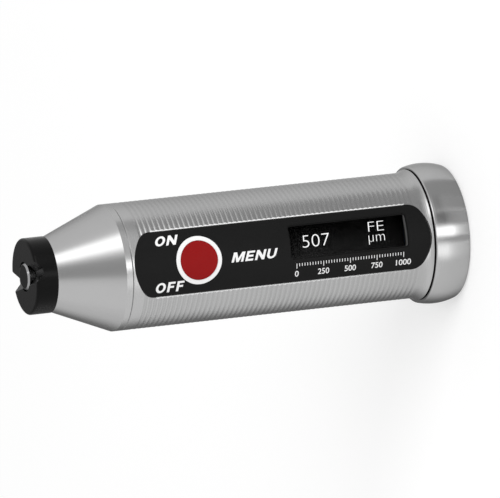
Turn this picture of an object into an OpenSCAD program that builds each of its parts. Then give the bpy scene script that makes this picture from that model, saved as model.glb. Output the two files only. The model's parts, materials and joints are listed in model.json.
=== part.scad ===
// Coating thickness gauge: a pen-sized instrument with a ringed barrel, a sprung sensor in its
// nose and a screw cap over its cell. It stands on the flat end of the cap. +Z runs along the
// axis to the probe, and the label with the key and the display faces -Y.

/* [Barrel] */
// Outer diameter of the barrel
barrel_d = 30; // [29.5:0.5:36]
// Wall of the barrel
barrel_wall = 1.8; // [1.4:0.1:1.9]
// Length of the barrel between the cap seal and the nose seam
barrel_l = 75.4; // [74:0.2:90]
// Distance from one turned ring to the next
ring_pitch = 1.22; // [0.8:0.02:2]
// Depth of the turned rings
ring_depth = 0.06; // [0.03:0.01:0.12]
// Smooth band at the tail end of the barrel
smooth_tail = 3.1; // [2.6:0.1:6]
// Smooth band at the nose end of the barrel
smooth_nose = 1.8; // [1:0.1:4]
// Length of the flare at the tail end of the barrel
flare_l = 2.4; // [1:0.1:2.6]
// Growth in radius of the flare at the tail end
flare_h = 0.65; // [0.4:0.05:0.8]

/* [Tail cap] */
// Height of the cap that shows below the seal
cap_l = 9; // [8:0.1:14]
// How far the bulge of the cap stands out past the barrel
cap_overhang = 1.8; // [1:0.1:3]
// Radius of the cap's bulged side
cap_bulge_r = 13.4; // [11:0.1:30]
// Height of the widest point of the cap
cap_wide_z = 5.2; // [4:0.1:6]
// Rounding of the cap's standing edge
cap_edge_r = 1.2; // [0.6:0.1:2]
// Rounding of the cap's edge at the seal
cap_lip_r = 0.4; // [0.2:0.1:0.8]
// Thickness of the cap's floor
cap_floor = 3; // [2:0.1:4]
// Length of the threaded spigot of the cap
cap_spigot_l = 5.6; // [4:0.1:6]
// Wall of the threaded spigot of the cap
cap_spigot_wall = 1.6; // [1.2:0.1:2.5]
// Thickness of the seal between cap and barrel
cap_seal_t = 0.3; // [0.2:0.05:0.6]
// How far the cap seal stands out past the barrel
cap_seal_out = 0.35; // [0.1:0.05:0.4]

/* [Nose] */
// Straight land at the wide end of the nose
nose_land = 1.6; // [0.5:0.1:4]
// Length of the cone
nose_cone_l = 14.9; // [13:0.1:20]
// Diameter of the narrow end of the cone
nose_tip_d = 17.5; // [16:0.1:22]
// Diameter of the bore through the nose
nose_bore_d = 14; // [12.4:0.1:14.4]
// Length of the spigot that enters the barrel
nose_spigot_l = 6; // [5:0.1:7]
// Section of the round seal on the spigot
nose_seal_d = 1.3; // [0.8:0.1:1.8]

/* [Probe] */
// Diameter of the black probe tip
tip_d = 18.1; // [17:0.1:24]
// Length of the black probe tip
tip_l = 5.3; // [4:0.1:8]
// Rounding of the tip's front edge
tip_edge_r = 0.6; // [0.2:0.1:1.2]
// Length of the tip's spigot inside the nose
tip_spigot_l = 9.5; // [8:0.1:10.5]
// Width of the V groove at the face
groove_w = 5; // [3:0.1:6.5]
// Width of the flat at the bottom of the V groove
groove_floor = 1.4; // [0.4:0.1:2]
// Depth of the V groove
groove_depth = 1.8; // [1:0.1:3]
// Turn of the V groove from straight towards the label, in degrees
groove_turn = 7.7; // [-45:0.1:45]
// Outer diameter of the sensor sleeve
sleeve_d = 6.5; // [6:0.1:8]
// Wall of the sensor sleeve
sleeve_wall = 0.5; // [0.45:0.05:0.8]
// Bevel of the sleeve's rim
sleeve_bevel = 0.4; // [0.2:0.05:0.4]
// How far the sleeve's rim stands out past the tip's face
sleeve_proud = 0.15; // [0:0.05:0.4]
// Gap round the sleeve at the mouth of its bore
mouth_gap = 0.25; // [0.1:0.05:0.5]
// Depth of the widened mouth of the sleeve's bore
mouth_depth = 2.4; // [1:0.1:4]
// Diameter of the measuring pole
pole_d = 2.2; // [1.6:0.1:2.6]
// Thickness of the wear disc over the coil and the pole
wear_disc_t = 1; // [0.5:0.1:2]
// Wire of the probe spring
probe_wire_d = 0.6; // [0.3:0.05:0.7]
// Length of the probe spring at rest
probe_spring_l = 6; // [5.5:0.1:8]
// Length of the screwed plug behind the probe spring
retainer_l = 4; // [3:0.1:4.5]

/* [Label] */
// Width of the label, seen from the front
label_w = 15.2; // [13:0.1:16]
// Thickness of the label
label_t = 0.2; // [0.2:0.05:0.4]
// Width of the bare flat step along each straight side of the label
label_step_w = 0.4; // [0.2:0.05:0.4]
// Distance from the tail end of the barrel to the label
label_tail_gap = 0.5; // [0.5:0.1:3]
// Distance from the nose end of the barrel to the label
label_nose_gap = 0.55; // [0.55:0.05:3]
// Radius of the label's tail end
label_tail_r = 10.8; // [8.5:0.1:12]
// Radius of the label's nose end
label_nose_r = 10.7; // [8.1:0.1:12]
// Rounding of the label's corners
label_corner_r = 3.6; // [1:0.1:4]

/* [Display] */
// Length of the display opening
window_l = 30; // [24:0.2:30.4]
// Width of the display opening
window_w = 8.05; // [6:0.05:8.1]
// Distance of the opening's middle from the label's middle line
window_x = 1.73; // [0:0.01:1.8]
// Distance from the tail end of the barrel to the opening
window_tail_gap = 6.1; // [5.8:0.1:8]
// Corner radius of the display opening
window_corner_r = 0.8; // [0.6:0.1:1.5]
// How far the pane lies below the crown of the barrel
window_sink = 2.1; // [1.5:0.1:2.4]
// Wall of the frame that lines the opening above the pane
window_frame_w = 0.3; // [0.2:0.05:0.5]
// Border of the display module round the opening
display_border = 0.3; // [0.1:0.1:0.4]
// Thickness of the display module
display_t = 2; // [1.4:0.05:2.05]
// Gap between the display module's corner and the bore
display_clear = 0.64; // [0.2:0.01:0.8]

/* [Button] */
// Diameter of the red key
button_d = 9.2; // [8:0.1:10]
// Width of the white ring round the key
bezel_w = 1.05; // [0.8:0.05:1.3]
// Distance from the nose end of the barrel to the key's middle
button_nose_gap = 16.5; // [15:0.1:18]
// How far the key stands out past the label
button_proud = 0.2; // [0:0.05:0.4]
// How far the white ring stands out past the label
bezel_proud = 0.06; // [0:0.01:0.15]
// Thickness of the key's retaining flange
button_flange_t = 0.8; // [0.5:0.1:0.9]
// Height of the switch above the board
switch_h = 2.6; // [2.2:0.1:2.7]
// How far the switch plunger stands out
plunger_out = 0.6; // [0.5:0.05:0.7]
// Side of the square switch
switch_w = 6; // [5:0.1:6.4]
// Travel of the key
button_travel = 0.35; // [0.2:0.05:0.4]

/* [Board] */
// Thickness of the circuit board
board_t = 1; // [0.8:0.1:1.2]
// Gap between the cell and the board
board_gap = 0.45; // [0.3:0.05:0.5]
// Side of the processor
chip_w = 7; // [5:0.1:8]
// Height of the processor
chip_h = 1.2; // [0.8:0.1:1.4]
// Wall of the carrier
carrier_wall = 1.4; // [1:0.1:2]
// Thickness of the carrier's bulkheads
bulkhead_t = 3; // [2.4:0.1:3.4]
// Diameter of the board screws
screw_d = 1.5; // [1.2:0.1:1.8]
// Diameter of the board screws' heads
screw_head_d = 2.6; // [2.4:0.1:3]
// Height of the board screws' heads
screw_head_h = 0.7; // [0.5:0.1:0.8]

/* [Cell] */
// Diameter of the cell
battery_d = 14.5; // [13.8:0.1:14.6]
// Length of the cell with its nub
battery_l = 50.5; // [46:0.1:51]
// Diameter of the cell's nub
nub_d = 5.5; // [4:0.1:6]
// Height of the cell's nub
nub_h = 1; // [0.8:0.1:1.5]
// Length of the battery spring at rest
battery_spring_l = 5.8; // [5.4:0.1:7]
// Wire of the battery spring
battery_wire_d = 0.7; // [0.5:0.05:0.8]
// Thickness of the contact plates
contact_t = 0.4; // [0.3:0.05:0.6]

/* [Fits] */
// Radial clearance of sliding and screwed fits
fit = 0.05; // [0.03:0.01:0.08]
// Clearance of pieces that are laid in place
seat = 0.1; // [0.05:0.01:0.15]
// Clearance round the cell
battery_clear = 0.2; // [0.1:0.05:0.3]
// Gap between the carrier and its neighbours along the axis
carrier_gap = 0.5; // [0.3:0.1:0.7]

/* [Hidden] */
$fn = 96;

barrel_r = barrel_d / 2;
bore_r = barrel_r - barrel_wall;
cut = barrel_d;
over = 1;
eps = 0.01;

// Stations along the axis
z_tail = cap_l + cap_seal_t;
z_nose = z_tail + barrel_l;
z_cone = z_nose + nose_land;
z_tip = z_cone + nose_cone_l;
z_end = z_tip + tip_l;
z_label0 = z_tail + label_tail_gap;
z_label1 = z_nose - label_nose_gap;
z_window = z_tail + window_tail_gap;
z_button = z_nose - button_nose_gap;
z_battery0 = cap_floor + contact_t + battery_spring_l;
z_battery1 = z_battery0 + battery_l;
z_carrier0 = cap_l + cap_spigot_l + carrier_gap;
z_carrier1 = z_nose - nose_spigot_l - carrier_gap;
part_gap = 1;
z_screw_mid = z_window + window_l + display_border + bulkhead_t / 2 + part_gap;
z_screw_end = z_carrier1 - bulkhead_t / 2;
z_chip = z_button - switch_w / 2 - part_gap - chip_w / 2;

// Heights above the axis, towards the label
display_side = 1;
display_w = window_w + 2 * display_side;
display_l = window_l + 2 * display_border;
display_corner = window_x + display_w / 2;
h_display = sqrt(bore_r * bore_r - display_corner * display_corner) - display_clear;
h_board1 = h_display - display_t;
h_board0 = h_board1 - board_t;
h_battery = h_board0 - board_gap - battery_d / 2;
h_window = barrel_r - window_sink;
h_switch = h_board1 + switch_h;
h_plunger = h_switch + plunger_out;
stem_l = 0.5;
h_button_flange0 = h_plunger + stem_l;
h_button_flange1 = h_button_flange0 + button_flange_t;

// Tail cap
cap_r = barrel_r + cap_overhang;
spigot_r = bore_r - fit;
cap_cup_r = spigot_r - cap_spigot_wall;
cap_contact_r = 6;
coil_edge = 1;
coil_taper = 1.6;
battery_coil_r0 = cap_contact_r - coil_edge;
battery_coil_r1 = battery_coil_r0 - coil_taper;
seam_chamfer = 0.15;

// Nose and probe
nose_bore_r = nose_bore_d / 2;
plug_r = nose_bore_r - fit;
nose_groove_w = nose_seal_d + 2 * seat;
nose_groove_r = spigot_r - nose_seal_d - seat / 2;
z_nose_groove = z_nose - nose_spigot_l / 2 - nose_groove_w / 2;
tip_r = tip_d / 2;
sleeve_r = sleeve_d / 2;
sleeve_bore_r = sleeve_r - sleeve_wall;
sleeve_flange_w = 1.1;
sleeve_flange_r = sleeve_r + sleeve_flange_w;
sleeve_flange_t = 1.3;
z_tip_spigot = z_tip - tip_spigot_l;
z_sleeve1 = z_tip_spigot - seat / 2;
z_sleeve0 = z_sleeve1 - sleeve_flange_t;
z_rim = z_end + sleeve_proud;
z_retainer1 = z_sleeve0 - probe_spring_l;
z_retainer0 = z_retainer1 - retainer_l;
lead_r = 0.9;
pole_r = pole_d / 2;
pole_base_r = sleeve_bore_r - seat;
pole_base_t = 1;
z_coil0 = z_sleeve1 + pole_base_t;
z_coil1 = z_rim - wear_disc_t;
bobbin_bore_r = pole_r + seat / 2;
bobbin_wall = 0.35;
bobbin_core_r = bobbin_bore_r + bobbin_wall;
bobbin_flange_t = 0.6;

// Label: radius and centre of each end arc, and the middles of the corner roundings
label_corner_x = label_w / 2 - label_corner_r;
label_end_rs = [for (r = [label_tail_r, label_nose_r]) max(r, label_w / 2 + label_step_w)];
label_end_zs = [z_label0 + label_end_rs[0], z_label1 - label_end_rs[1]];
label_corner_h = [for (r = label_end_rs) sqrt(pow(r - label_corner_r, 2) - pow(label_corner_x, 2))];
z_label_corner0 = label_end_zs[0] - label_corner_h[0];
z_label_corner1 = label_end_zs[1] + label_corner_h[1];

// Button
button_r = button_d / 2;
bezel_bore_r = button_r + fit;
bezel_r = button_r + bezel_w;
bezel_hole_r = bezel_r + fit;
button_flange_w = 0.4;
button_flange_r = button_r + button_flange_w;
bezel_counterbore_r = button_flange_r + seat;
bezel_flange_w = 0.9;
bezel_flange_r = bezel_r + bezel_flange_w;
bezel_flange_t = 0.9;
h_bezel1 = sqrt(bore_r * bore_r - bezel_flange_r * bezel_flange_r) - seat;
h_bezel0 = h_bezel1 - bezel_flange_t;
plunger_r = 1.6;
plunger_bore_r = plunger_r + fit;
plunger_room = 0.3;

// Board, carrier and cell
board_w = 2 * (sqrt(bore_r * bore_r - h_board1 * h_board1) - 3 * seat);
carrier_r = bore_r - seat;
battery_r = battery_d / 2;
battery_hole_r = battery_r + battery_clear;
part_w = 0.8;
part_l = 1.6;
part_h = 0.7;
ribbon_t = 0.15;
ribbon_inset = 2;
ribbon_run = 1;
ribbon_w = display_w - 2 * ribbon_inset;
screw_r = screw_d / 2;
screw_edge = 1;
screw_x = board_w / 2 - screw_head_d / 2 - screw_edge;
screw_depth = 2.2;
stud_h = 0.6;
stud_r = 1.5;

// Points of an arc round [x, y], from angle a0 to a1
function arc(x, y, r, a0, a1, steps) =
  [for (i = [0 : steps]) let (a = a0 + (a1 - a0) * i / steps) [x + r * cos(a), y + r * sin(a)]];

// Extrudes an outline in X and Z towards the label, between two heights above the axis
module front_block(h0, h1) {
  rotate([90, 0, 0]) translate([0, 0, h0]) linear_extrude(height = h1 - h0) children();
}

// A round pin that points to the label, between two heights above the axis
module front_pin(r, h0, h1, x = 0, z = 0) {
  rotate([90, 0, 0]) translate([x, z, h0]) cylinder(r = r, h = h1 - h0);
}

module centred_square(x, z, w, l) {
  translate([x - w / 2, z - l / 2]) square([w, l]);
}

module rounded_rectangle(w, l, r) {
  translate([-w / 2 + r, -l / 2]) square([w - 2 * r, l]);
  translate([-w / 2, -l / 2 + r]) square([w, l - 2 * r]);
  for (x = [-1, 1], z = [-1, 1]) translate([x * (w / 2 - r), z * (l / 2 - r)]) circle(r);
}

module tube_between(r0, r1, z0, z1) {
  translate([0, 0, z0]) difference() {
    cylinder(r = r1, h = z1 - z0);
    translate([0, 0, -over]) cylinder(r = r0, h = z1 - z0 + 2 * over);
  }
}

// A wire spring along Z with closed end turns. The coil radius runs from r0 to r1.
module wire_spring(r0, r1, z0, z1, turns, wire_d) {
  sides = 8;
  steps = 16;
  rings = turns * steps;
  closed = wire_d * 1.1;
  low = z0 + wire_d / 2 + eps;
  high = z1 - wire_d / 2 - eps;
  function rise(n) = n < 1 ? low + closed * n
    : n > turns - 1 ? high - closed * (turns - n)
    : low + closed + (high - low - 2 * closed) * (n - 1) / (turns - 2);
  points = [for (i = [0 : rings], j = [0 : sides - 1])
    let (n = i / steps, a = 360 * n, b = 360 * j / sides, r = r0 + (r1 - r0) * i / rings,
      q = r + wire_d / 2 * cos(b))
    [q * cos(a), q * sin(a), rise(n) + wire_d / 2 * sin(b)]];
  walls = [for (i = [0 : rings - 1], j = [0 : sides - 1])
    let (k = (j + 1) % sides)
    [i * sides + j, i * sides + k, (i + 1) * sides + k, (i + 1) * sides + j]];
  first = [for (j = [0 : sides - 1]) sides - 1 - j];
  last = [for (j = [0 : sides - 1]) rings * sides + j];
  polyhedron(points, concat(walls, [first, last]), convexity = 10);
}

// Outline of the label in X and Z, grown by a margin
module label_outline(grow) {
  corner_steps = 8;
  end_steps = 24;
  r = label_corner_r + grow;
  tail_a = atan2(label_corner_h[0], label_corner_x);
  nose_a = atan2(label_corner_h[1], label_corner_x);
  function between(points) = [for (i = [1 : len(points) - 2]) points[i]];
  polygon(concat(
    arc(label_corner_x, z_label_corner1, r, 0, nose_a, corner_steps),
    between(arc(0, label_end_zs[1], label_end_rs[1] + grow, nose_a, 180 - nose_a, end_steps)),
    arc(-label_corner_x, z_label_corner1, r, 180 - nose_a, 180, corner_steps),
    arc(-label_corner_x, z_label_corner0, r, 180, 180 + tail_a, corner_steps),
    between(arc(0, label_end_zs[0], label_end_rs[0] + grow, 180 + tail_a, 360 - tail_a, end_steps)),
    arc(label_corner_x, z_label_corner0, r, 360 - tail_a, 360, corner_steps)));
}

module window_outline(grow) {
  translate([window_x, z_window + window_l / 2])
    rounded_rectangle(window_w + 2 * grow, window_l + 2 * grow, window_corner_r + grow);
}

// Opening for the pane and hole for the ring of the key
module label_openings() {
  front_block(bore_r / 2, cut) window_outline(0);
  front_pin(bezel_hole_r, bore_r / 2, cut, z = z_button);
}

// Flat steps milled along the straight sides of the label's recess
module label_steps() {
  side0 = label_w / 2 + seat / 2;
  side1 = label_w / 2 + label_step_w;
  h_step = sqrt(barrel_r * barrel_r - side1 * side1);
  z_step0 = z_label_corner0 + label_step_w;
  z_step1 = z_label_corner1 - label_step_w;
  for (x = [-side1 - over, side0]) front_block(h_step, cut)
    translate([x, z_step0]) square([side1 + over - side0, z_step1 - z_step0]);
}

module barrel() {
  z0 = z_tail + smooth_tail;
  rings = floor((z_nose - smooth_nose - z0) / ring_pitch);
  valley_r = barrel_r - ring_depth;
  flare_steps = 6;
  flare = [for (i = [0 : flare_steps]) let (u = i / flare_steps)
    [barrel_r + flare_h * (1 - u) * (1 - u), z_tail + flare_l * u]];
  waves = [for (i = [0 : rings - 1], j = [0 : 3])
    [j < 2 ? barrel_r : valley_r, z0 + (i + j / 4) * ring_pitch]];
  nose_end = [[barrel_r, z0 + rings * ring_pitch], [barrel_r, z_nose - seam_chamfer],
    [barrel_r - seam_chamfer, z_nose], [bore_r, z_nose]];
  color("silver") difference() {
    rotate_extrude() polygon(concat([[bore_r, z_tail]], flare, waves, nose_end));
    intersection() {
      front_block(0, cut) label_outline(seat);
      tube_between(barrel_r - label_t, cut, z_tail, z_nose);
    }
    label_steps();
    label_openings();
  }
}

module nose_cone() {
  spigot = [[nose_bore_r, z_nose - nose_spigot_l], [spigot_r, z_nose - nose_spigot_l],
    [spigot_r, z_nose_groove], [nose_groove_r, z_nose_groove],
    [nose_groove_r, z_nose_groove + nose_groove_w], [spigot_r, z_nose_groove + nose_groove_w],
    [spigot_r, z_nose]];
  head = [[barrel_r - seam_chamfer, z_nose], [barrel_r, z_nose + seam_chamfer], [barrel_r, z_cone],
    [nose_tip_d / 2, z_tip], [nose_bore_r, z_tip]];
  color("silver") rotate_extrude() polygon(concat(spigot, head));
}

module nose_seal() {
  color("black") rotate_extrude()
    translate([spigot_r - nose_seal_d / 2, z_nose_groove + nose_groove_w / 2]) circle(nose_seal_d / 2);
}

module probe_tip() {
  bore = sleeve_r + fit;
  mouth = sleeve_r + mouth_gap;
  front = arc(tip_r - tip_edge_r, z_end - tip_edge_r, tip_edge_r, 0, 90, 6);
  color("#262626") difference() {
    rotate_extrude() polygon(concat([[bore, z_tip_spigot], [plug_r, z_tip_spigot], [plug_r, z_tip],
      [tip_r, z_tip]], front, [[mouth, z_end], [mouth, z_end - mouth_depth], [bore, z_end - mouth_depth]]));
    rotate([0, 0, groove_turn]) front_block(-cut, cut) polygon([[-groove_w / 2, z_end],
      [-groove_floor / 2, z_end - groove_depth], [groove_floor / 2, z_end - groove_depth],
      [groove_w / 2, z_end], [groove_w / 2, z_end + over], [-groove_w / 2, z_end + over]]);
  }
}

module probe_sleeve() {
  color("lightgray") rotate_extrude() polygon([[lead_r, z_sleeve0], [sleeve_flange_r, z_sleeve0],
    [sleeve_flange_r, z_sleeve1], [sleeve_r, z_sleeve1], [sleeve_r, z_rim - sleeve_bevel],
    [sleeve_r - sleeve_bevel, z_rim], [sleeve_bore_r, z_rim], [sleeve_bore_r, z_sleeve1],
    [lead_r, z_sleeve1]]);
}

module probe_pole() {
  color("gray") rotate_extrude() polygon([[0, z_sleeve1], [pole_base_r, z_sleeve1],
    [pole_base_r, z_coil0], [pole_r, z_coil0], [pole_r, z_coil1], [0, z_coil1]]);
}

module coil_bobbin() {
  flange_r = sleeve_bore_r - seat;
  color("#303030") rotate_extrude() polygon([[bobbin_bore_r, z_coil0], [flange_r, z_coil0],
    [flange_r, z_coil0 + bobbin_flange_t], [bobbin_core_r, z_coil0 + bobbin_flange_t],
    [bobbin_core_r, z_coil1 - bobbin_flange_t], [flange_r, z_coil1 - bobbin_flange_t],
    [flange_r, z_coil1], [bobbin_bore_r, z_coil1]]);
}

module coil_winding() {
  color("chocolate") tube_between(bobbin_core_r + seat / 2, sleeve_bore_r - 2 * seat,
    z_coil0 + bobbin_flange_t, z_coil1 - bobbin_flange_t);
}

// Dark hard disc that closes the sleeve, level with its rim
module wear_disc() {
  color("#383838") translate([0, 0, z_coil1]) cylinder(r = sleeve_bore_r - seat / 2, h = wear_disc_t);
}

module probe_spring() {
  edge = 0.4;
  coil_r = sleeve_flange_r - probe_wire_d / 2 - edge;
  color("lightgray") wire_spring(coil_r, coil_r, z_retainer1, z_sleeve0, 5, probe_wire_d);
}

module probe_retainer() {
  lead_hole_r = 2 * lead_r;
  slot_w = 1.2;
  slot_depth = 1.2;
  color("goldenrod") difference() {
    tube_between(lead_hole_r, plug_r, z_retainer0, z_retainer1);
    translate([-cut / 2, -slot_w / 2, z_retainer0 - slot_depth]) cube([cut, slot_w, 2 * slot_depth]);
  }
}

module label() {
  color("#202022") difference() {
    intersection() {
      front_block(0, cut) label_outline(0);
      tube_between(barrel_r - label_t, barrel_r, z_tail, z_nose);
    }
    label_openings();
  }
}

module button_bezel() {
  lip = h_button_flange1 + seat;
  color("white") difference() {
    union() {
      intersection() {
        front_pin(bezel_r, h_bezel0, cut, z = z_button);
        translate([0, 0, z_button - cut / 2]) cylinder(r = barrel_r + bezel_proud, h = cut);
      }
      front_pin(bezel_flange_r, h_bezel0, h_bezel1, z = z_button);
    }
    front_pin(bezel_bore_r, h_bezel0 - over, cut, z = z_button);
    front_pin(bezel_counterbore_r, h_bezel0 - over, lip, z = z_button);
  }
}

module button_cap() {
  color("firebrick") {
    intersection() {
      front_pin(button_r, h_button_flange0, cut, z = z_button);
      translate([0, 0, z_button - cut / 2]) cylinder(r = barrel_r + button_proud, h = cut);
    }
    front_pin(button_flange_r, h_button_flange0, h_button_flange1, z = z_button);
    front_pin(plunger_r, h_plunger, h_button_flange0 + eps, z = z_button);
  }
}

module switch_plunger() {
  color("#303030") front_pin(plunger_r, h_switch - plunger_out, h_plunger, z = z_button);
}

module switch_body() {
  color("dimgray") difference() {
    front_block(h_board1, h_switch) centred_square(0, z_button, switch_w, switch_w);
    front_pin(plunger_bore_r, h_switch - plunger_out - button_travel - plunger_room, cut, z = z_button);
  }
}

// Thin moulded frame between the pane and the label, cut round like the label's seat
module window_frame() {
  color("#262626") intersection() {
    front_block(h_window + eps, cut) difference() {
      window_outline(-fit);
      window_outline(-window_frame_w);
    }
    translate([0, 0, z_tail]) cylinder(r = barrel_r - label_t, h = barrel_l);
  }
}

module display_window() {
  color("#18181c") front_block(h_display + eps, h_window) window_outline(-seat);
}

module display_module() {
  color("#101014") front_block(h_board1, h_display)
    centred_square(window_x, z_window + window_l / 2, display_w, display_l);
}

// Flex that leaves the end of the display and lies down on the board
module display_ribbon() {
  h0 = h_board1 + display_t / 2;
  z0 = z_window + window_l + display_border;
  z1 = z0 + ribbon_run / 2;
  z2 = z1 + h0 - h_board1;
  z3 = z2 + ribbon_run;
  color("darkorange") translate([window_x - ribbon_w / 2, 0, 0]) rotate([90, 0, 90])
    linear_extrude(height = ribbon_w) polygon([[-h0, z0], [-h0, z1], [-h_board1, z2], [-h_board1, z3],
      [-h_board1 - ribbon_t, z3], [-h_board1 - ribbon_t, z2], [-h0 - ribbon_t, z1], [-h0 - ribbon_t, z0]]);
}

module circuit_board() {
  color("darkgreen") difference() {
    front_block(h_board0, h_board1)
      centred_square(0, (z_carrier0 + z_carrier1) / 2, board_w, z_carrier1 - z_carrier0);
    for (x = [-1, 1], z = [z_screw_mid, z_screw_end])
      front_pin(screw_r + fit, h_board0 - over, h_board1 + over, x = x * screw_x, z = z);
  }
}

module processor_chip() {
  dimple_r = 0.4;
  dimple = 0.1;
  corner = chip_w / 2 - 3 * dimple_r;
  color("#1c1c1c") difference() {
    front_block(h_board1, h_board1 + chip_h) centred_square(0, z_chip, chip_w, chip_w);
    front_pin(dimple_r, h_board1 + chip_h - dimple, cut, x = corner, z = z_chip + corner);
  }
}

// Small capacitors and resistors on both sides of the processor
module board_parts() {
  rows = 4;
  x = chip_w / 2 + part_gap + part_l / 2;
  color("tan") for (side = [-1, 1], i = [0 : rows - 1])
    front_block(h_board1, h_board1 + part_h)
      centred_square(side * x, z_chip + (i - (rows - 1) / 2) * 2 * part_w, part_l, part_w);
}

module board_screws() {
  color("silver") for (x = [-1, 1], z = [z_screw_mid, z_screw_end]) {
    front_pin(screw_r, h_board0 - screw_depth, h_board1 + eps, x = x * screw_x, z = z);
    front_pin(screw_head_d / 2, h_board1, h_board1 + screw_head_h, x = x * screw_x, z = z);
  }
}

// Half shell with bulkheads: two carry the cell, one the positive contact and one the board's end
module carrier() {
  z_contact = z_battery1 + stud_h + contact_t;
  rings = [z_carrier0 + bulkhead_t / 2, z_screw_mid, z_contact + bulkhead_t / 2, z_screw_end];
  color("#505050") difference() {
    union() {
      tube_between(carrier_r - carrier_wall, carrier_r, z_carrier0, z_carrier1);
      for (z = rings) translate([0, 0, z - bulkhead_t / 2]) cylinder(r = carrier_r - eps, h = bulkhead_t);
    }
    translate([-cut / 2, -h_board0 - cut, 0]) cube([cut, cut, z_end]);
    translate([0, -h_battery, z_carrier0 - over])
      cylinder(r = battery_hole_r, h = z_contact - z_carrier0 + over);
    translate([-battery_hole_r / 2, -cut, z_carrier0 - over])
      cube([battery_hole_r, cut, z_contact - z_carrier0 + over]);
    translate([0, -h_battery, z_contact]) cylinder(r = battery_hole_r / 2, h = z_end);
    for (x = [-1, 1], z = [z_screw_mid, z_screw_end])
      front_pin(screw_r + fit, h_board0 - screw_depth - seat, cut, x = x * screw_x, z = z);
  }
}

module battery() {
  color("#2f4f6f") translate([0, -h_battery, z_battery0]) {
    cylinder(r = battery_r, h = battery_l - nub_h);
    translate([0, 0, battery_l - nub_h - eps]) cylinder(r = nub_d / 2, h = nub_h + eps);
  }
}

// Brass plate against the carrier's bulkhead, with a stud on the nub and a tab to the board
module positive_contact() {
  plate_w = 1.5 * battery_hole_r;
  tab_w = 3;
  tab_l = h_board0 - h_battery;
  color("gold") translate([0, -h_battery, z_battery1]) {
    translate([-plate_w / 2, -plate_w / 2, stud_h]) cube([plate_w, plate_w, contact_t]);
    cylinder(r = stud_r, h = stud_h + eps);
    translate([-tab_w / 2, -tab_l, stud_h]) cube([tab_w, tab_l, contact_t]);
  }
}

module cap_seal() {
  color("black") tube_between(bore_r, barrel_r + cap_seal_out, cap_l, z_tail);
}

// Bulged cap with a hollow spigot that screws into the barrel
module tail_cap() {
  x = cap_r - cap_bulge_r;
  base_x = x + sqrt(pow(cap_bulge_r - cap_edge_r, 2) - pow(cap_wide_z - cap_edge_r, 2));
  lip_z = cap_l - cap_lip_r;
  lip_x = x + sqrt(pow(cap_bulge_r - cap_lip_r, 2) - pow(lip_z - cap_wide_z, 2));
  base_a = atan2(cap_edge_r - cap_wide_z, base_x - x);
  lip_a = atan2(lip_z - cap_wide_z, lip_x - x);
  side = concat(arc(base_x, cap_edge_r, cap_edge_r, -90, base_a, 6),
    arc(x, cap_wide_z, cap_bulge_r, base_a + 2, lip_a - 2, 10),
    arc(lip_x, lip_z, cap_lip_r, lip_a, 90, 5));
  color("silver") rotate_extrude() polygon(concat([[0, 0]], side, [[spigot_r, cap_l],
    [spigot_r, cap_l + cap_spigot_l], [cap_cup_r, cap_l + cap_spigot_l], [cap_cup_r, cap_floor],
    [0, cap_floor]]));
}

module cap_contact() {
  color("gold") translate([0, 0, cap_floor]) cylinder(r = cap_contact_r, h = contact_t);
}

module battery_spring() {
  color("lightgray") wire_spring(battery_coil_r0, battery_coil_r1, cap_floor + contact_t,
    z_battery0, 5, battery_wire_d);
}

barrel();
nose_cone();
probe_tip();
nose_seal();
label();
button_bezel();
button_cap();
switch_plunger();
switch_body();
window_frame();
display_window();
display_module();
display_ribbon();
circuit_board();
processor_chip();
board_parts();
board_screws();
carrier();
battery();
positive_contact();
probe_sleeve();
probe_pole();
coil_bobbin();
coil_winding();
wear_disc();
probe_spring();
probe_retainer();
cap_seal();
tail_cap();
cap_contact();
battery_spring();
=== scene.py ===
"""Looks of a coating thickness gauge: finishes, printing, studio and the photograph's view.

Everything is in metres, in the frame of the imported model: +Z along the gauge to its probe, -Y
towards the label. Print is laid out flat first: along runs to the tail and reads like a line of
text, up runs to +X. The tables of print and of reflector cards give millimetres and degrees.
"""

import json
import math

import bmesh
import bpy
from mathutils import Matrix, Vector

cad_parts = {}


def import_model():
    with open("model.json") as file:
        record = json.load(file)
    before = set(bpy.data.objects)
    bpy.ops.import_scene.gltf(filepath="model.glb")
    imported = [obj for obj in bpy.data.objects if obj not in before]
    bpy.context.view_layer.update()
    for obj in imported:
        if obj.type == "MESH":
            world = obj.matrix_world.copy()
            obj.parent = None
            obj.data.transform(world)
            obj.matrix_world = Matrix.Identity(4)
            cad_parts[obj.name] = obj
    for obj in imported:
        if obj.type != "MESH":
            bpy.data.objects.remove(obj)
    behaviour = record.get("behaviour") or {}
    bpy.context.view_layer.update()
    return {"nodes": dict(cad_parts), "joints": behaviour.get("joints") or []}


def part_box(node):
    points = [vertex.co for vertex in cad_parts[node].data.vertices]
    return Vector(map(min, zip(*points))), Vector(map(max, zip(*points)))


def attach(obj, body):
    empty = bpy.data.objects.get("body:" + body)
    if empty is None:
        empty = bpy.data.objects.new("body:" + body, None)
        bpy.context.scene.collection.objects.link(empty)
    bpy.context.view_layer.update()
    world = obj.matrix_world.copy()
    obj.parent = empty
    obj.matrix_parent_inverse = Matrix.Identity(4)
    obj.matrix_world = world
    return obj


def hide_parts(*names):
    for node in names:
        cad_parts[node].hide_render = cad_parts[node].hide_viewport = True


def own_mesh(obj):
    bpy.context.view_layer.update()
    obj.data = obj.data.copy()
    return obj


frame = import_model()
NODES = frame["nodes"]
JOINTS = {joint["name"]: joint for joint in frame["joints"]}
MM = 0.001

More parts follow.
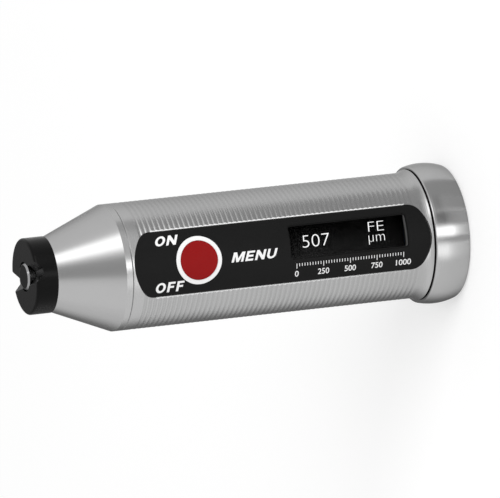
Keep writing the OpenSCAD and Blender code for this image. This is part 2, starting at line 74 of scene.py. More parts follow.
# Places and travels taken from the model. The label is flush with the barrel
LABEL_R = -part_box("label")[0].y
BARREL_R = LABEL_R
BUTTON_Z = sum(v.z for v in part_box("button_cap")) / 2
WINDOW_LOW, WINDOW_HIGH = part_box("display_window")
DISPLAY_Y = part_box("display_module")[0].y
SEAL_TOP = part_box("cap_seal")[1].z
CAP_TURNS = JOINTS["cap_turn"]["range_deg"][1] / 360
THREAD_PITCH = JOINTS["cap_travel"]["range_m"][1] / CAP_TURNS

# Turned metal: the rings, the thread with the peak of its wave, and the tint of grazing light
RING_DEPTH = 0.06 * MM
THREAD_DEPTH = 0.3 * THREAD_PITCH
THREAD_PEAK = 0.5
EDGE_TINT = 0.55

# Grain of the finishes, in cells to a metre, and the grains across a cloud in plastic
STAIN_CELLS = 60
PANE_CELLS = 900
SEGMENT_CELLS = 4000
PAPER_CELLS = 300
CLOUD_GRAINS = 40

# Painted light on the rim of the window's frame: its depth, its soft edge and the turn of its faces
PAINTED_LIGHT_DEPTH = 1.1 * MM
PAINTED_LIGHT_FADE = 0.4 * MM
PAINTED_LIGHT_FACING = (0.3, 0.9)

# The painted shade and light on the display: its curve from the upper to the lower side, and its share at
# the tail
PAINTED_SHADE_CURVE = 1.8
PAINTED_SHADE_TAIL = 0.35

# Print: its thickness, how deep it sits, the width of its strips round the label, the distance
# that counts as one point, and half the thickness of a word before it is fitted
PRINT_T = 0.03 * MM
PRINT_SINK = 0.01 * MM
PRINT_CUT = 0.3 * MM
WELD = 1e-7
HALF_EXTRUDE = 0.5

# The photograph's frame and view
PHOTO_W = 500
PHOTO_H = 498
VIEW_ELEVATION = math.radians(19.78)
VIEW_AZIMUTH = math.radians(2.05)
VIEW_ROLL = math.radians(6.21)
VIEW_DISTANCE = 2.069
VIEW_POINT_Z = 54.65 * MM
FOCAL_PX = 8764
VIEW_POINT_PX = (231.6, 254.3)
SENSOR_MM = 36

# Studio
FLOOR_R = 4.0
FLOOR_COLOUR = (0.62, 0.62, 0.62)
FLOOR_GLOW = 0.42
WORLD_STRENGTH = 0.75
LAMP_PLACE = (0.7, -1.2, 1.0)
LAMP_AIM = (0, 0, 50 * MM)
LAMP_SIZE = 1.2
LAMP_POWER = 14

# Reflector cards: the radius they are seen on, their distance, layers, soft ends and grid
CARD_R = 15.4 * MM
CARD_REACH = 135 * MM
CARD_GAP = 0.05 * MM
CARD_FADE = 15 * MM
CARD_COLUMNS = 32
CARD_STEPS = 10


def linear(srgb):
    """A colour given as 8-bit values, in linear light."""
    parts = [c / 255 for c in srgb]
    return tuple(c / 12.92 if c <= 0.04045 else ((c + 0.055) / 1.055) ** 2.4 for c in parts)


def smooth(t):
    """Eases from 0 to 1."""
    t = min(max(t, 0.0), 1.0)
    return t * t * (3 - 2 * t)


def new_object(name, data):
    """An object in the scene."""
    piece = bpy.data.objects.new(name, data)
    bpy.context.scene.collection.objects.link(piece)
    return piece


# Shader nodes

def new_material(name):
    """A new material, with its node tree and its shader."""
    material = bpy.data.materials.new(name)
    material.use_nodes = True
    tree = material.node_tree
    return material, tree, tree.nodes["Principled BSDF"]


def add(tree, kind, **values):
    """A node with its properties and its inputs set by name."""
    node = tree.nodes.new(kind)
    for key, value in values.items():
        if hasattr(node, key):
            setattr(node, key, value)
        else:
            node.inputs[key].default_value = value
    return node


def object_coordinates(tree):
    """Places in the frame of the model."""
    return add(tree, "ShaderNodeTexCoord").outputs["Object"]


def split_axes(tree, vector):
    """The X, Y and Z of a vector, by name."""
    node = add(tree, "ShaderNodeSeparateXYZ")
    tree.links.new(vector, node.inputs[0])
    return node.outputs


def worked_out(tree, operation, a, b):
    """The result of an operation on two values, each a socket or a number."""
    node = add(tree, "ShaderNodeMath", operation=operation)
    for socket, value in zip(node.inputs, (a, b)):
        if isinstance(value, bpy.types.NodeSocket):
            tree.links.new(value, socket)
        else:
            socket.default_value = value
    return node.outputs[0]


def ranged(tree, value, low, high, start=0.0, end=1.0):
    """Runs from low to high while the value runs from start to end."""
    node = add(tree, "ShaderNodeMapRange")
    node.inputs["From Min"].default_value = start
    node.inputs["From Max"].default_value = end
    node.inputs["To Min"].default_value = low
    node.inputs["To Max"].default_value = high
    tree.links.new(value, node.inputs["Value"])
    return node.outputs["Result"]


def uneven(tree, factor, value, spread):
    """Runs from a share below a value to the same share above it."""
    return ranged(tree, factor, value * (1 - spread), value * (1 + spread))


# Sockets of a mix of colours, which share their names with its other sockets
MIX_FACTOR = 0
MIX_A = 6
MIX_B = 7
MIX_RESULT = 2


def mixed_colour(tree, factor, a, b):
    """Runs from colour a to colour b."""
    node = add(tree, "ShaderNodeMix", data_type="RGBA")
    node.inputs[MIX_A].default_value = (*a, 1)
    node.inputs[MIX_B].default_value = (*b, 1)
    tree.links.new(factor, node.inputs[MIX_FACTOR])
    return node.outputs[MIX_RESULT]


def shades(tree, factor, colour, low, high=1.0):
    """Runs from low to high times a colour."""
    dark = tuple(c * low for c in colour)
    light = tuple(min(c * high, 1.0) for c in colour)
    return mixed_colour(tree, factor, dark, light)


def greys(tree, factor, dark, light):
    """Runs from a dark to a light grey."""
    return mixed_colour(tree, factor, (dark, dark, dark), (light, light, light))


def noise(tree, vector, scale):
    """Cloudy noise from 0 to 1, with the scale in cells to a metre."""
    node = add(tree, "ShaderNodeTexNoise", Scale=scale, Detail=3.0)
    tree.links.new(vector, node.inputs["Vector"])
    return node.outputs["Fac"]


def turned_lines(tree, coordinates, per_metre):
    """Fine lines round the axis: noise that changes with the height alone."""
    lines = add(tree, "ShaderNodeTexNoise", noise_dimensions="1D", Scale=per_metre, Detail=2.0)
    tree.links.new(split_axes(tree, coordinates)["Z"], lines.inputs["W"])
    return lines.outputs["Fac"]


def axis_distance(tree, coordinates):
    """Distance from the gauge's axis."""
    flat = add(tree, "ShaderNodeVectorMath", operation="MULTIPLY")
    flat.inputs[1].default_value = (1, 1, 0)
    tree.links.new(coordinates, flat.inputs[0])
    radius = add(tree, "ShaderNodeVectorMath", operation="LENGTH")
    tree.links.new(flat.outputs["Vector"], radius.inputs[0])
    return radius.outputs["Value"]


def painted_valley_shade(tree, coordinates, colour, depth):
    """Painted shade: darkens a colour by a share in the valleys between the barrel's rings."""
    share = ranged(tree, axis_distance(tree, coordinates), 1 - depth, 1, BARREL_R - RING_DEPTH, BARREL_R)
    shade = add(tree, "ShaderNodeVectorMath", operation="SCALE")
    tree.links.new(colour, shade.inputs[0])
    tree.links.new(share, shade.inputs["Scale"])
    return shade.outputs["Vector"]


def screw_thread(tree, coordinates):
    """A right-handed thread round the axis above the cap's seal, from 0 to its peak."""
    z = split_axes(tree, coordinates)["Z"]
    turn = add(tree, "ShaderNodeTexGradient", gradient_type="RADIAL")
    tree.links.new(coordinates, turn.inputs["Vector"])
    climb = worked_out(tree, "DIVIDE", z, THREAD_PITCH)
    phase = worked_out(tree, "SUBTRACT", climb, turn.outputs["Fac"])
    ridge = worked_out(tree, "PINGPONG", phase, THREAD_PEAK)
    above = ranged(tree, z, 0, 1, SEAL_TOP, SEAL_TOP + THREAD_PITCH)
    return worked_out(tree, "MULTIPLY", ridge, above)


def bumped(tree, shader, height, distance):
    """Adds a bump on top of those that the shader already has."""
    node = add(tree, "ShaderNodeBump", Distance=distance)
    tree.links.new(height, node.inputs["Height"])
    for link in shader.inputs["Normal"].links:
        tree.links.new(link.from_socket, node.inputs["Normal"])
    tree.links.new(node.outputs["Normal"], shader.inputs["Normal"])


# Materials

def turned_metal(name, colour, roughness, lines_per_metre, line_depth, anisotropy=0.0, valleys=0.0,
                 threaded=False):
    """Satin metal off the lathe: fine lines round the axis, with faint cloudy stains and, where asked,
    painted shade in the valleys between the barrel's rings.
    """
    material, tree, shader = new_material(name)
    shader.inputs["Metallic"].default_value = 1.0
    shader.inputs["Specular Tint"].default_value = (EDGE_TINT, EDGE_TINT, EDGE_TINT, 1)
    place = object_coordinates(tree)
    lines = turned_lines(tree, place, lines_per_metre)
    stains_and_valley_shade = shades(tree, noise(tree, place, STAIN_CELLS), colour, low=0.94, high=1.05)
    # Painted shade: the colour is darkened in the valleys between the rings
    if valleys:
        stains_and_valley_shade = painted_valley_shade(tree, place, stains_and_valley_shade, valleys)
    tree.links.new(stains_and_valley_shade, shader.inputs["Base Color"])
    tree.links.new(uneven(tree, lines, roughness, spread=0.15), shader.inputs["Roughness"])
    bumped(tree, shader, lines, line_depth)
    if threaded:
        bumped(tree, shader, screw_thread(tree, place), THREAD_DEPTH / THREAD_PEAK)
    if anisotropy:
        shader.inputs["Anisotropic"].default_value = anisotropy
        tangent = add(tree, "ShaderNodeTangent", direction_type="RADIAL", axis="Z")
        tree.links.new(tangent.outputs["Tangent"], shader.inputs["Tangent"])
    return material


def plastic(name, colour, roughness, grain_scale, grain_depth, specular=0.5, variation=0.08):
    """Moulded plastic or film with a fine grain."""
    material, tree, shader = new_material(name)
    place = object_coordinates(tree)
    grain = noise(tree, place, grain_scale)
    cloud = noise(tree, place, grain_scale / CLOUD_GRAINS)
    tree.links.new(shades(tree, cloud, colour, 1 - variation, 1 + variation), shader.inputs["Base Color"])
    tree.links.new(uneven(tree, grain, roughness, spread=0.1), shader.inputs["Roughness"])
    shader.inputs["Specular IOR Level"].default_value = specular
    bumped(tree, shader, grain, grain_depth)
    return material


def metal(name, colour, roughness, grain_scale):
    """Plain metal of small inner pieces."""
    material, tree, shader = new_material(name)
    shader.inputs["Metallic"].default_value = 1.0
    grain = noise(tree, object_coordinates(tree), grain_scale)
    tree.links.new(shades(tree, grain, colour, low=0.9), shader.inputs["Base Color"])
    tree.links.new(uneven(tree, grain, roughness, spread=0.2), shader.inputs["Roughness"])
    return material


def clear_pane(name):
    """A thin clear pane with a faint dark tint and no gloss of its own."""
    material, tree, shader = new_material(name)
    shader.inputs["Base Color"].default_value = (0, 0, 0, 1)
    shader.inputs["Specular IOR Level"].default_value = 0.0
    shader.inputs["Alpha"].default_value = 0.08
    grain = noise(tree, object_coordinates(tree), PANE_CELLS)
    tree.links.new(ranged(tree, grain, low=0.04, high=0.1), shader.inputs["Roughness"])
    return material


def display_with_painted_shade(name, dark, light):
    """The black face of the display, with painted shade and light: dark under the window's upper edge,
    greying towards its lower side and the key.
    """
    material, tree, shader = new_material(name)
    axes = split_axes(tree, object_coordinates(tree))
    # Painted shade and light: darker under the window's upper edge and towards the tail, greyer lower down
    # and towards the key
    lower = ranged(tree, axes["X"], 0, 1, WINDOW_HIGH.x, WINDOW_LOW.x)
    curved = worked_out(tree, "POWER", lower, PAINTED_SHADE_CURVE)
    nearer = ranged(tree, axes["Z"], PAINTED_SHADE_TAIL, 1, WINDOW_LOW.z, WINDOW_HIGH.z)
    share = worked_out(tree, "MULTIPLY", curved, nearer)
    tree.links.new(greys(tree, share, dark, light), shader.inputs["Base Color"])
    shader.inputs["Roughness"].default_value = 0.4
    shader.inputs["Specular IOR Level"].default_value = 0.02
    return material


def painted_end_light(name, dark, light):
    """Dark plastic with painted light: paler near the label, on the faces towards the probe, which face
    the lamp.
    """
    material, tree, shader = new_material(name)
    normal = add(tree, "ShaderNodeTexCoord").outputs["Normal"]
    # Painted light: faces turned towards the probe, near the label, are made paler
    facing = ranged(tree, split_axes(tree, normal)["Z"], 0, 1, *PAINTED_LIGHT_FACING)
    radius = axis_distance(tree, object_coordinates(tree))
    rim = ranged(tree, radius, 0, 1, LABEL_R - PAINTED_LIGHT_DEPTH - PAINTED_LIGHT_FADE, LABEL_R - PAINTED_LIGHT_DEPTH)
    share = worked_out(tree, "MULTIPLY", facing, rim)
    tree.links.new(greys(tree, share, dark, light), shader.inputs["Base Color"])
    shader.inputs["Roughness"].default_value = 0.55
    shader.inputs["Specular IOR Level"].default_value = 0.05
    return material


def lit_print(name, colour, strength):
    """Lit segments of the display, faintly uneven."""
    material, tree, shader = new_material(name)
    shader.inputs["Base Color"].default_value = (0, 0, 0, 1)
    shader.inputs["Specular IOR Level"].default_value = 0.0
    cells = noise(tree, object_coordinates(tree), SEGMENT_CELLS)
    tree.links.new(shades(tree, cells, colour, low=0.85), shader.inputs["Emission Color"])
    shader.inputs["Emission Strength"].default_value = strength
    return material


def wound_wire(name, colour, wire_d):
    """Enamelled wire: fine ridges round the axis, somewhat closer than the wire is thick, with painted
    shade between them.
    """
    material, tree, shader = new_material(name)
    shader.inputs["Metallic"].default_value = 0.8
    shader.inputs["Roughness"].default_value = 0.35
    wave = add(tree, "ShaderNodeTexWave", bands_direction="Z", Scale=0.5 / wire_d)
    tree.links.new(object_coordinates(tree), wave.inputs["Vector"])
    ridges = wave.outputs["Fac"]
    # Painted shade: the colour darkens to half between the ridges
    tree.links.new(shades(tree, ridges, colour, low=0.5), shader.inputs["Base Color"])
    bumped(tree, shader, ridges, wire_d / 3)
    return material


ALUMINIUM = (0.412, 0.412, 0.412)
LOOKS = {
    # turned_metal: name, colour, roughness, lines to a metre, their depth, anisotropy, painted shade in
    # the valleys
    # plastic: name, colour, roughness, grains to a metre, their depth, gloss, variation
    # metal: name, colour, roughness, grains to a metre
    "barrel": turned_metal("ringed_aluminium", ALUMINIUM, 0.24, 9000, 0.0008 * MM, 0.3, 0.08),
    "nose_cone": turned_metal("cone_aluminium", ALUMINIUM, 0.22, 14000, 0.001 * MM, 0.3),
    "tail_cap": turned_metal("cap_aluminium", ALUMINIUM, 0.18, 14000, 0.0006 * MM, 0.3, threaded=True),
    "probe_sleeve": turned_metal("sleeve_steel", (0.32, 0.32, 0.325), 0.2, 20000, 0.001 * MM),
    "probe_pole": turned_metal("pole_steel", (0.4, 0.4, 0.41), 0.25, 20000, 0.001 * MM),
    "probe_retainer": metal("plug_brass", (0.72, 0.52, 0.2), 0.3, 3000),
    "probe_tip": plastic("tip_plastic", (0.003, 0.003, 0.003), 0.24, 6000, 0.001 * MM, 0.08),
    "label": plastic("label_film", (0.0095, 0.0095, 0.0095), 0.55, 9000, 0.002 * MM, 0.06),
    "button_cap": plastic("red_plastic", linear((143, 21, 22)), 0.5, 9000, 0.003 * MM, 0.05),
    "button_bezel": plastic("white_plastic", (0.92, 0.92, 0.92), 0.5, 9000, 0.002 * MM, 0.2, 0.02),
    "window_frame": painted_end_light("frame_plastic", 0.011, 0.11),
    "display_window": clear_pane("clear_pane"),
    "display_module": display_with_painted_shade("display_glass", 0.0004, 0.032),
    "cap_seal": plastic("seal_rubber", (0.006, 0.006, 0.006), 0.7, 5000, 0.004 * MM, 0.1),
    "nose_seal": plastic("ring_rubber", (0.008, 0.008, 0.008), 0.6, 5000, 0.004 * MM, 0.2),
    "switch_body": plastic("switch_plastic", (0.05, 0.05, 0.055), 0.5, 5000, 0.003 * MM),
    "switch_plunger": plastic("plunger_plastic", (0.04, 0.04, 0.045), 0.45, 5000, 0.003 * MM),
    "display_ribbon": plastic("ribbon_film", (0.05, 0.022, 0.005), 0.3, 3000, 0.001 * MM),
    "circuit_board": plastic("board_mask", (0.006, 0.04, 0.016), 0.35, 2500, 0.003 * MM, 0.5, 0.2),
    "processor_chip": plastic("chip_plastic", (0.02, 0.02, 0.022), 0.55, 8000, 0.003 * MM),
    "board_parts": plastic("part_ceramic", (0.42, 0.32, 0.2), 0.4, 4000, 0.002 * MM),
    "board_screws": metal("screw_steel", (0.6, 0.6, 0.62), 0.3, 4000),
    "carrier": plastic("carrier_plastic", (0.1, 0.1, 0.11), 0.55, 4000, 0.006 * MM),
    "battery": plastic("cell_sleeve", (0.05, 0.1, 0.2), 0.3, 1500, 0.002 * MM),
    "positive_contact": metal("contact_brass", (0.75, 0.56, 0.22), 0.25, 3000),
    "cap_contact": metal("disc_brass", (0.75, 0.56, 0.22), 0.25, 3000),
    "wear_disc": plastic("disc_ceramic", (0.005, 0.005, 0.005), 0.3, 8000, 0.001 * MM, 0.05),
    "coil_bobbin": plastic("bobbin_plastic", (0.012, 0.012, 0.012), 0.5, 5000, 0.003 * MM, 0.2),
    "coil_winding": wound_wire("winding_copper", (0.55, 0.22, 0.08), 0.12 * MM),
    "probe_spring": metal("spring_steel", (0.6, 0.6, 0.62), 0.25, 4000),
    "battery_spring": metal("coil_steel", (0.6, 0.6, 0.62), 0.25, 4000),
}
WHITE_PRINT = plastic("white_print", (0.93, 0.93, 0.93), 0.6, 9000, 0.001 * MM, 0.1, 0.02)
LIT_PRINT = lit_print("lit_print", (1, 1, 1), 1.2)
for node, look in LOOKS.items():
    NODES[node].data.materials.clear()
    NODES[node].data.materials.append(look)


# The probe's spring

def pressed_spring():
    """Stands for the spring behind the probe: a copy of it, with a mesh of its own, that rides on the
    body.
    """
    piece = new_object("pressed_spring", NODES["probe_spring"].data.copy())
    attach(piece, "body")
    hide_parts("probe_spring")
    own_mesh(piece)


pressed_spring()


# Flat print

def flat_mesh(name, plates):
    """Thin plates, each from a list of corners in along and up, as one mesh."""
    shape = bmesh.new()
    for corners in plates:
        low = [shape.verts.new((x, y, 0)) for x, y in corners]
        high = [shape.verts.new((x, y, PRINT_T)) for x, y in corners]
        count = len(corners)
        shape.faces.new(reversed(low))
        shape.faces.new(high)
        for i in range(count):
            j = (i + 1) % count
            shape.faces.new((low[i], low[j], high[j], high[i]))
    mesh = bpy.data.meshes.new(name)
    shape.to_mesh(mesh)
    shape.free()
    return mesh


def curve_mesh(name, curve, width, height):
    """The mesh of a filled curve, fitted to a width and a height round the origin. Its back lies at 0."""
    curve.extrude = HALF_EXTRUDE
    scratch = new_object(name + "_curve", curve)
    bpy.context.view_layer.update()
    mesh = bpy.data.meshes.new_from_object(scratch.evaluated_get(bpy.context.evaluated_depsgraph_get()))
    bpy.data.objects.remove(scratch)
    bpy.data.curves.remove(curve)
    mesh.name = name
    xs = [v.co.x for v in mesh.vertices]
    ys = [v.co.y for v in mesh.vertices]
    middle = Vector(((min(xs) + max(xs)) / 2, (min(ys) + max(ys)) / 2, -HALF_EXTRUDE))
    size = Vector((width / (max(xs) - min(xs)), height / (max(ys) - min(ys)), PRINT_T))
    for vertex in mesh.vertices:
        vertex.co = (vertex.co - middle) * size
    return mesh


def text_mesh(name, words, width, height, weight):
    """Words in plain type as a thin solid. The weight thickens or thins the strokes."""
    curve = bpy.data.curves.new(name, "FONT")
    curve.body = words
    curve.size = 1.0
    curve.offset = weight
    curve.resolution_u = 6
    return curve_mesh(name, curve, width, height)


# Bold capitals: outlines one unit high, with the widths of their stems and bars, how much shorter
# a middle bar is, and the gap between letters
STEM = 0.26
BAR = 0.2
BAR_CUT = 0.08
LETTER_GAP = 0.22
ARC_STEPS = 16
RING_STEPS = 24


def ellipse_points(x, y, rx, ry, angles):
    """Points of an ellipse at the given angles."""
    turns = [math.radians(a) for a in angles]
    return [(x + rx * math.cos(a), y + ry * math.sin(a)) for a in turns]


def arc(x, y, rx, ry, start, end):
    """Points of an ellipse from one angle to another, with both ends."""
    angles = [start + (end - start) * i / ARC_STEPS for i in range(ARC_STEPS + 1)]
    return ellipse_points(x, y, rx, ry, angles)


def ring(x, y, rx, ry):
    """Points all round an ellipse."""
    return ellipse_points(x, y, rx, ry, [360 * i / RING_STEPS for i in range(RING_STEPS)])


def letter_o():
    w = 1.06
    outer = ring(w / 2, 0.5, w / 2, 0.5)
    inner = ring(w / 2, 0.5, w / 2 - STEM, 0.5 - BAR)
    return w, [outer, inner[::-1]]


def letter_n():
    w = 1.04
    slope = 0.58
    return w, [[(0, 0), (STEM, 0), (STEM, slope), (w - STEM, 0), (w, 0), (w, 1), (w - STEM, 1),
                (w - STEM, 1 - slope), (STEM, 1), (0, 1)]]


def letter_f():
    w = 0.76
    low = 0.4
    short = w - BAR_CUT
    return w, [[(0, 0), (STEM, 0), (STEM, low), (short, low), (short, low + BAR), (STEM, low + BAR),
                (STEM, 1 - BAR), (w, 1 - BAR), (w, 1), (0, 1)]]


def letter_e():
    w = 0.86
    low = 0.5 - BAR / 2
    short = w - BAR_CUT
    return w, [[(0, 0), (w, 0), (w, BAR), (STEM, BAR), (STEM, low), (short, low), (short, low + BAR),
                (STEM, low + BAR), (STEM, 1 - BAR), (w, 1 - BAR), (w, 1), (0, 1)]]


def letter_m():
    w = 1.3
    mid = w / 2
    foot = 0.13
    slope = 0.1
    inner_h = 0.62
    dip = 0.36
    return w, [[(0, 0), (STEM, 0), (STEM, inner_h), (mid - foot, 0), (mid + foot, 0),
                (w - STEM, inner_h), (w - STEM, 0), (w, 0), (w, 1), (w - STEM - slope, 1), (mid, dip),
                (STEM + slope, 1), (0, 1)]]


def letter_u():
    w = 1.02
    round_h = 0.42
    outer = arc(w / 2, round_h, w / 2, round_h, 180, 360)
    inner = arc(w / 2, round_h, w / 2 - STEM, round_h - BAR, 360, 180)
    return w, [[(0, 1)] + outer + [(w, 1), (w - STEM, 1)] + inner + [(STEM, 1)]]


LETTERS = {"O": letter_o, "N": letter_n, "F": letter_f, "E": letter_e, "M": letter_m, "U": letter_u}


def bold_mesh(name, word, width, height, slant):
    """A word in bold slanted capitals as a thin solid."""
    curve = bpy.data.curves.new(name, "CURVE")
    curve.dimensions = "2D"
    curve.fill_mode = "BOTH"
    start = 0.0
    for letter in word:
        letter_w, outlines = LETTERS[letter]()
        for outline in outlines:
            spline = curve.splines.new("POLY")
            spline.points.add(len(outline) - 1)
            spline.use_cyclic_u = True
            for point, (x, y) in zip(spline.points, outline):
                point.co = (start + x + slant * y, y, 0, 1)
        start += letter_w + LETTER_GAP
    return curve_mesh(name, curve, width, height)


# Print on the label and the display

def cut_across(mesh, step):
    """Cuts a flat mesh at even steps of up, so that it can follow the round label."""
    shape = bmesh.new()
    shape.from_mesh(mesh)
    bmesh.ops.remove_doubles(shape, verts=shape.verts, dist=WELD)
    low = min(v.co.y for v in shape.verts)
    high = max(v.co.y for v in shape.verts)
    for i in range(1, int((high - low) / step) + 1):
        everything = shape.verts[:] + shape.edges[:] + shape.faces[:]
        bmesh.ops.bisect_plane(shape, geom=everything, plane_co=(0, low + i * step, 0), plane_no=(0, 1, 0))
    bmesh.ops.triangulate(shape, faces=shape.faces)
    shape.to_mesh(mesh)
    shape.free()


def on_label(mesh, z, x):
    """Wraps a flat mesh on the label, with its origin at height z and at x off the middle line."""
    cut_across(mesh, PRINT_CUT)
    for vertex in mesh.vertices:
        along, up, lift = vertex.co
        radius = LABEL_R - PRINT_SINK + lift
        across = x + up
        vertex.co = (across, -math.sqrt(radius * radius - across * across), z - along)


def on_display(mesh, z, x):
    """Lays a flat mesh on the front of the display, with its origin at height z and at x."""
    for vertex in mesh.vertices:
        along, up, lift = vertex.co
        vertex.co = (x + up, DISPLAY_Y + PRINT_SINK - lift, z - along)


def show(mesh, material):
    """Makes a print of its mesh, which rides on the body."""
    piece = new_object(mesh.name, mesh)
    mesh.materials.append(material)
    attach(piece, "body")


LEGENDS = [
    # name, words, along from the key to the tail, up, width, height, slant
    ("legend_on", "ON", -7.2, 5.32, 5.95, 2.25, 0.44),
    ("legend_off", "OFF", -7.4, -5.57, 7.15, 2.34, 0.19),
    ("legend_menu", "MENU", 13.85, -0.28, 11.8, 2.28, 0.37),
]
for name, words, along, up, width, height, slant in LEGENDS:
    mesh = bold_mesh(name, words, width * MM, height * MM, slant)
    on_label(mesh, BUTTON_Z - along * MM, up * MM)
    show(mesh, WHITE_PRINT)

READINGS = [
    # name, words, along from the key to the tail, up, width, height, weight
    ("reading_value", "507", 31.03, 1.52, 6.85, 2.9, -0.018),
    ("reading_metal", "FE", 46.4, 3.33, 3.95, 2.25, -0.022),
    ("reading_unit", "µm", 46.36, 0.23, 4.1, 2.15, -0.019),
]
for name, words, along, up, width, height, weight in READINGS:
    mesh = text_mesh(name, words, width * MM, height * MM, weight)
    on_display(mesh, BUTTON_Z - along * MM, up * MM)
    show(mesh, LIT_PRINT)


# A plain graduated scale below the window: its steps, what each counts, and its sizes
SCALE_STEPS = 40
SCALE_MAJOR = 10
SCALE_UNIT = 25
SCALE_L = 27 * MM
SCALE_TOP = -3.3 * MM
TICK_W = 0.16 * MM
TICK_MINOR = 0.7 * MM
TICK_MAJOR = 1.2 * MM
FIGURE_H = 1.35 * MM
FIGURE_W = 0.95 * MM
FIGURE_UP = -5.7 * MM
FIGURE_WEIGHT = 0.01
SCALE_MIDDLE = (WINDOW_LOW.z + WINDOW_HIGH.z) / 2


def scale_along(step):
    """Place of a step along the scale, from its middle."""
    return (step / SCALE_STEPS - 0.5) * SCALE_L


def scale_ticks():
    """All the ticks of the scale, which hang from its top line."""
    plates = []
    for i in range(SCALE_STEPS + 1):
        length = TICK_MAJOR if i % SCALE_MAJOR == 0 else TICK_MINOR
        left = scale_along(i) - TICK_W / 2
        right = scale_along(i) + TICK_W / 2
        plates.append([(left, -length), (right, -length), (right, 0), (left, 0)])
    return flat_mesh("scale_ticks", plates)


ticks = scale_ticks()
on_label(ticks, SCALE_MIDDLE, SCALE_TOP)
show(ticks, WHITE_PRINT)
for i in range(0, SCALE_STEPS + 1, SCALE_MAJOR):
    figure = str(i * SCALE_UNIT)
    mesh = text_mesh("scale_figure_" + figure, figure, FIGURE_W * len(figure), FIGURE_H, FIGURE_WEIGHT)
    on_label(mesh, SCALE_MIDDLE - scale_along(i), FIGURE_UP)
    show(mesh, WHITE_PRINT)


# Camera

def photo_camera():
    """The photograph's camera: far off, raised towards the probe end and turned on its side, so
    that the gauge lies across the picture with its probe to the left."""
    to_camera = Vector((math.sin(VIEW_AZIMUTH) * math.cos(VIEW_ELEVATION),
                        -math.cos(VIEW_AZIMUTH) * math.cos(VIEW_ELEVATION), math.sin(VIEW_ELEVATION)))
    aim = Vector((0, 0, VIEW_POINT_Z))
    place = aim + to_camera * VIEW_DISTANCE
    level_up = (Vector((0, 0, 1)) - to_camera * to_camera.z).normalized()
    level_right = level_up.cross(to_camera)
    turn = math.radians(90) + VIEW_ROLL
    right = level_right * math.cos(turn) - level_up * math.sin(turn)
    up = level_right * math.sin(turn) + level_up * math.cos(turn)
    metres_per_px = VIEW_DISTANCE / FOCAL_PX
    aim += right * (PHOTO_W / 2 - VIEW_POINT_PX[0]) * metres_per_px
    aim -= up * (PHOTO_H / 2 - VIEW_POINT_PX[1]) * metres_per_px
    back = (place - aim).normalized()
    right = up.cross(back).normalized()
    up = back.cross(right)
    data = bpy.data.cameras.new("camera")
    data.sensor_fit = "HORIZONTAL"
    data.sensor_width = SENSOR_MM
    data.lens = FOCAL_PX / PHOTO_W * SENSOR_MM
    data.clip_end = 50
    camera = new_object("camera", data)
    turned = Matrix((right, up, back)).transposed().to_4x4()
    camera.matrix_world = Matrix.Translation(place) @ turned
    bpy.context.scene.camera = camera


photo_camera()


# Studio

def seen_directly(tree):
    """1 for rays from the camera, from gloss and through glass, else 0."""
    path = add(tree, "ShaderNodeLightPath")
    total = path.outputs["Is Camera Ray"]
    for kind in ("Is Glossy Ray", "Is Transmission Ray"):
        total = worked_out(tree, "MAXIMUM", total, path.outputs[kind])
    return total


def floor():
    """Pale paper that looks white and keeps a soft shadow."""
    shape = bmesh.new()
    bmesh.ops.create_circle(shape, cap_ends=True, segments=96, radius=FLOOR_R)
    mesh = bpy.data.meshes.new("floor")
    shape.to_mesh(mesh)
    shape.free()
    piece = new_object("floor", mesh)
    material, tree, shader = new_material("floor_paper")
    grain = noise(tree, object_coordinates(tree), PAPER_CELLS)
    tree.links.new(shades(tree, grain, FLOOR_COLOUR, low=0.995), shader.inputs["Base Color"])
    shader.inputs["Roughness"].default_value = 0.9
    shader.inputs["Specular IOR Level"].default_value = 0.0
    shader.inputs["Emission Color"].default_value = (1, 1, 1, 1)
    glow = ranged(tree, seen_directly(tree), 0, FLOOR_GLOW)
    tree.links.new(glow, shader.inputs["Emission Strength"])
    mesh.materials.append(material)


def world():
    """White surroundings, at full strength only where they are seen."""
    sky = bpy.data.worlds.new("studio")
    sky.use_nodes = True
    tree = sky.node_tree
    background = tree.nodes["Background"]
    background.inputs["Color"].default_value = (1, 1, 1, 1)
    tree.links.new(ranged(tree, seen_directly(tree), WORLD_STRENGTH, 1), background.inputs["Strength"])
    bpy.context.scene.world = sky


def soft_lamp(name, place, aim, size, power):
    """A round lamp that lights the gauge but isn't mirrored in it."""
    data = bpy.data.lights.new(name, "AREA")
    data.shape = "DISK"
    data.size = size
    data.energy = power
    lamp = new_object(name, data)
    lamp.location = place
    lamp.rotation_euler = (Vector(aim) - Vector(place)).to_track_quat("-Z", "Y").to_euler()
    lamp.visible_glossy = False


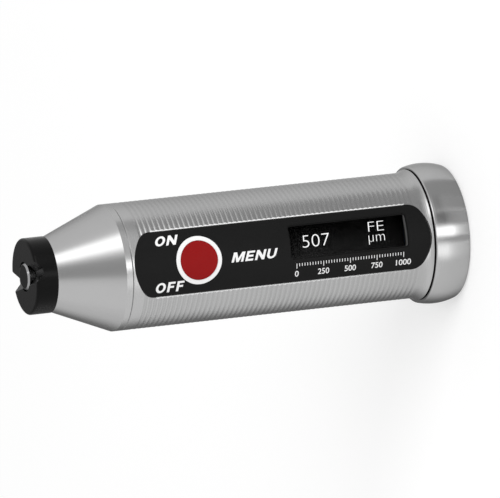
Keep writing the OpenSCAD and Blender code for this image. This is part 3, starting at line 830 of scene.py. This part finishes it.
def card_mesh(name, layer, azimuth, width, soft, low, high, near, near_from, near_to):
    """The sheet of a card, with a fade at each corner that says how much of its strength it has
    there. Each column lies where a ray from the camera goes after it meets the gauge."""
    gap = CARD_GAP * (layer + 1)
    rows = [(CARD_REACH - gap, low + (high - low) * i / CARD_STEPS) for i in range(CARD_STEPS + 1)]
    if low == 0:
        rows = [(CARD_REACH * (i / CARD_STEPS) ** 2, gap) for i in range(CARD_STEPS)] + rows
    shape = bmesh.new()
    fade = shape.verts.layers.float.new("fade")
    grid = []
    for i in range(CARD_COLUMNS + 1):
        offset = (i / CARD_COLUMNS - 0.5) * (width + 2 * soft)
        foot = math.radians(azimuth + offset)
        away = 2 * foot - VIEW_AZIMUTH
        edge = smooth((width / 2 + soft - abs(offset)) / soft)
        column = []
        for reach, z in rows:
            x = CARD_R * math.sin(foot) + reach * math.sin(away)
            y = CARD_R * math.cos(foot) + reach * math.cos(away)
            corner = shape.verts.new((x, -y, z))
            gained = min(max((reach - near_from) / (near_to - near_from), 0), 1)
            share = near + (1 - near) * gained
            corner[fade] = share * edge * smooth((high - z) / CARD_FADE)
            if low > 0:
                corner[fade] *= smooth((z - low) / CARD_FADE)
            column.append(corner)
        grid.append(column)
    for left, right in zip(grid, grid[1:]):
        for j in range(len(rows) - 1):
            shape.faces.new((left[j], right[j], right[j + 1], left[j + 1]))
    mesh = bpy.data.meshes.new(name)
    shape.to_mesh(mesh)
    shape.free()
    return mesh


def card_look(name, level):
    """Even light, as strong at each place as the fade says, and clear where that is 0."""
    material, tree, shader = new_material(name)
    tree.nodes.remove(shader)
    clear = add(tree, "ShaderNodeBsdfTransparent")
    lit = add(tree, "ShaderNodeEmission", Strength=level)
    blend = add(tree, "ShaderNodeMixShader")
    amount = add(tree, "ShaderNodeAttribute", attribute_name="fade")
    tree.links.new(amount.outputs["Fac"], blend.inputs[0])
    tree.links.new(clear.outputs[0], blend.inputs[1])
    tree.links.new(lit.outputs[0], blend.inputs[2])
    tree.links.new(blend.outputs[0], tree.nodes["Material Output"].inputs["Surface"])
    return material


def card(layer, name, azimuth, width, soft, low, high, level, near, near_from, near_to):
    """A reflector card that only gloss sees, given by where it shows on the gauge: an azimuth from
    the label's side and a width, with a soft edge on both sides. A card that starts at the floor
    also lies on the floor, up to the gauge. There it keeps the near share of its strength up to
    near_from, and gains the rest up to near_to."""
    low, high, near_from, near_to = [v * MM for v in (low, high, near_from, near_to)]
    mesh = card_mesh(name, layer, azimuth, width, soft, low, high, near, near_from, near_to)
    mesh.materials.append(card_look(name, level))
    piece = new_object(name, mesh)
    piece.visible_camera = False
    piece.visible_diffuse = False
    piece.visible_transmission = False
    piece.visible_shadow = False


CARDS = [
    # name, azimuth, width, soft, low, high, level, near share, near from, near to
    ("gap_left", -5, 2.5, 2, 0, 42, 0.12, 0.3, 0, 30),
    ("strip_front", 2, 3.8, 3.5, 0, 85, 3.2, 0, 3, 11),
    ("strip_left", -13, 3, 9, 0, 46, 2.1, 0, 0, 30),
    ("gap_right", 12.5, 7, 3.5, 0, 32, 0.3, 0.4, 0, 30),
    ("side_low", 33.5, 23, 6, 0, 28, 0.45, 0.75, 20, 50),
    ("side_right", 39, 11, 4, 0, 55, 0.53, 1, 0, 30),
    ("side_land", 22, 20, 6, 22, 62, 0.8, 1, 0, 30),
    ("low_left", -40, 24, 12, 4, 75, 1.14, 1, 0, 30),
    ("back_left", -80, 12, 22, 0, 80, 0.3, 1, 0, 30),
    ("high_front", 1.5, 15, 5, 92, 230, 0.54, 1, 0, 30),
    ("high_strip", 25, 8, 6.5, 60, 230, 2.9, 1, 0, 30),
    ("high_left", -28, 16, 16, 92, 230, 1.12, 1, 0, 30),
    ("high_back", -84, 12, 24, 60, 230, 0.3, 1, 0, 30),
    ("top_strip", 30, 6, 5, 330, 450, 3, 1, 0, 30),
]
floor()
world()
soft_lamp("key_lamp", LAMP_PLACE, LAMP_AIM, LAMP_SIZE, LAMP_POWER)
for layer, row in enumerate(CARDS):
    card(layer, *row)

scene = bpy.context.scene
scene.view_settings.view_transform = "Standard"
